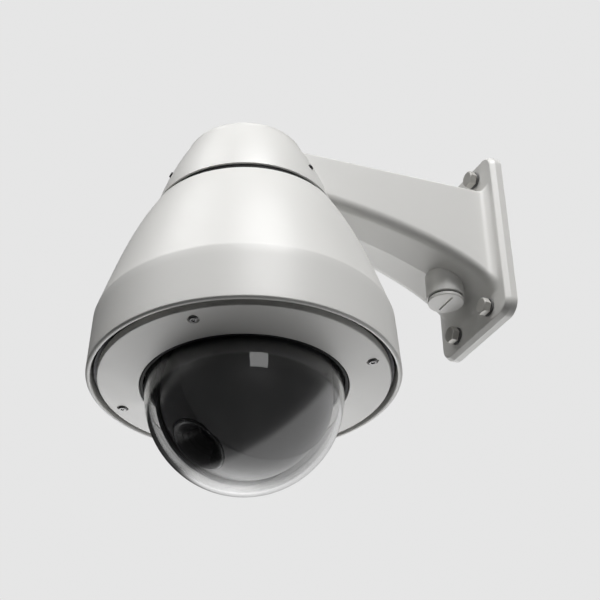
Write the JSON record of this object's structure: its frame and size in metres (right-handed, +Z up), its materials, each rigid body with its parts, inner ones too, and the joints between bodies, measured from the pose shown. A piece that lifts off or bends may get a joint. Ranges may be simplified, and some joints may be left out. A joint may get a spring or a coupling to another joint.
{
  "type": "ptz camera",
  "caption": "Outdoor pan-tilt-zoom dome camera in a bell-shaped sun shroud with a clear bubble, hung from a hollow cast wall arm.",
  "frame": {"origin": "middle of the wall plate's back face", "axes": "+Z up, +Y into the wall, +X to the right of someone who faces the wall"},
  "size_m": [0.2358, 0.3403, 0.3413],
  "materials": {
    "paint": "warm light grey powder coat, satin",
    "zinc": "pale grey coated hex bolts",
    "rubber": "black elastomer",
    "steel": "turned steel",
    "screw": "stainless tamper-proof screw",
    "black_oxide": "black oxide set screw",
    "alloy": "cast and bare aluminium",
    "dark_coat": "matt black coated aluminium",
    "black_plastic": "black moulded plastic",
    "liner": "smooth dark grey moulding",
    "clear_dome": "clear polycarbonate",
    "board": "green printed circuit board",
    "brass": "turned brass",
    "nylon": "natural acetal",
    "optic": "coated optical glass"
  },
  "bodies": {
    "base": {"wall_arm": "paint", "wall_seal": "rubber", "conduit_plug": "paint", "plug_seal": "rubber", "neck_gasket": "rubber", "sun_shroud": "paint", "pipe_nipple": "steel", "lock_nut": "steel", "inner_housing": "dark_coat", "trim_ring": "paint", "bubble_gasket": "rubber", "dome_bubble": "clear_dome", "chassis_plate": "dark_coat", "pan_bearing_outer": "steel", "pan_motor": "black_plastic", "slip_ring_stator": "black_plastic", "fan_frame": "black_plastic", "heater": "alloy", "main_board": "board", "power_board": "board", "wall_bolt_1": "zinc", "wall_bolt_2": "zinc", "wall_bolt_3": "zinc", "wall_bolt_4": "zinc", "wall_washer_1": "rubber", "wall_washer_2": "rubber", "wall_washer_3": "rubber", "wall_washer_4": "rubber", "ring_screw_1": "screw", "ring_screw_2": "screw", "ring_screw_3": "screw", "ring_screw_4": "screw", "cap_screw_1": "black_oxide", "cap_screw_2": "black_oxide", "cap_screw_3": "black_oxide"},
    "pan_stage": {"turntable": "dark_coat", "pan_bearing_inner": "steel", "pan_gear": "nylon", "yoke_right": "alloy", "yoke_left": "alloy", "eyeball_cheek_right": "liner", "eyeball_cheek_left": "liner", "tilt_bush_right": "brass", "tilt_bush_left": "brass", "tilt_motor": "black_plastic"},
    "pan_pinion": {"pan_pinion": "brass"},
    "fan": {"fan_rotor": "black_plastic"},
    "camera": {"camera_drum": "liner", "drum_back": "liner", "lens_barrel": "black_plastic", "lens_ring": "black_plastic", "front_glass": "optic", "sensor_board": "board", "tilt_axle_right": "steel", "tilt_axle_left": "steel", "tilt_gear": "nylon"},
    "tilt_pinion": {"tilt_pinion": "brass"},
    "zoom_group": {"zoom_group": "optic"},
    "focus_group": {"focus_group": "optic"},
    "filter_slide": {"filter_slide": "optic"}
  },
  "joints": [
    {"name": "pan", "type": "hinge", "parent": "base", "child": "pan_stage", "pos_m": [0, -0.2224, -0.1], "axis": [0, 0, 1], "continuous": true},
    {"name": "pan_pinion_spin", "type": "hinge", "parent": "base", "child": "pan_pinion", "pos_m": [-0.03818, -0.18422, -0.11], "axis": [0, 0, 1], "continuous": true},
    {"name": "fan_spin", "type": "hinge", "parent": "base", "child": "fan", "pos_m": [-0.046, -0.2604, -0.1], "axis": [0, 0, 1], "continuous": true},
    {"name": "tilt", "type": "hinge", "parent": "pan_stage", "child": "camera", "pos_m": [0, -0.2224, -0.1854], "axis": [1, 0, 0], "range_deg": [-52.5, 37.5]},
    {"name": "tilt_pinion_spin", "type": "hinge", "parent": "pan_stage", "child": "tilt_pinion", "pos_m": [0, -0.2224, -0.1614], "axis": [1, 0, 0], "range_deg": [-150, 210]},
    {"name": "zoom_travel", "type": "slide", "parent": "camera", "child": "zoom_group", "axis": [0, -0.6088, -0.7934], "range_m": [-0.0015, 0.0085]},
    {"name": "focus_travel", "type": "slide", "parent": "camera", "child": "focus_group", "axis": [0, -0.6088, -0.7934], "range_m": [-0.002, 0.004]},
    {"name": "filter_travel", "type": "slide", "parent": "camera", "child": "filter_slide", "axis": [1, 0, 0], "range_m": [0, 0.009]}
  ],
  "couplings": [
    {"joint": "pan_pinion_spin", "follows": "pan", "ratio": -5},
    {"joint": "tilt_pinion_spin", "follows": "tilt", "ratio": -4}
  ]
}
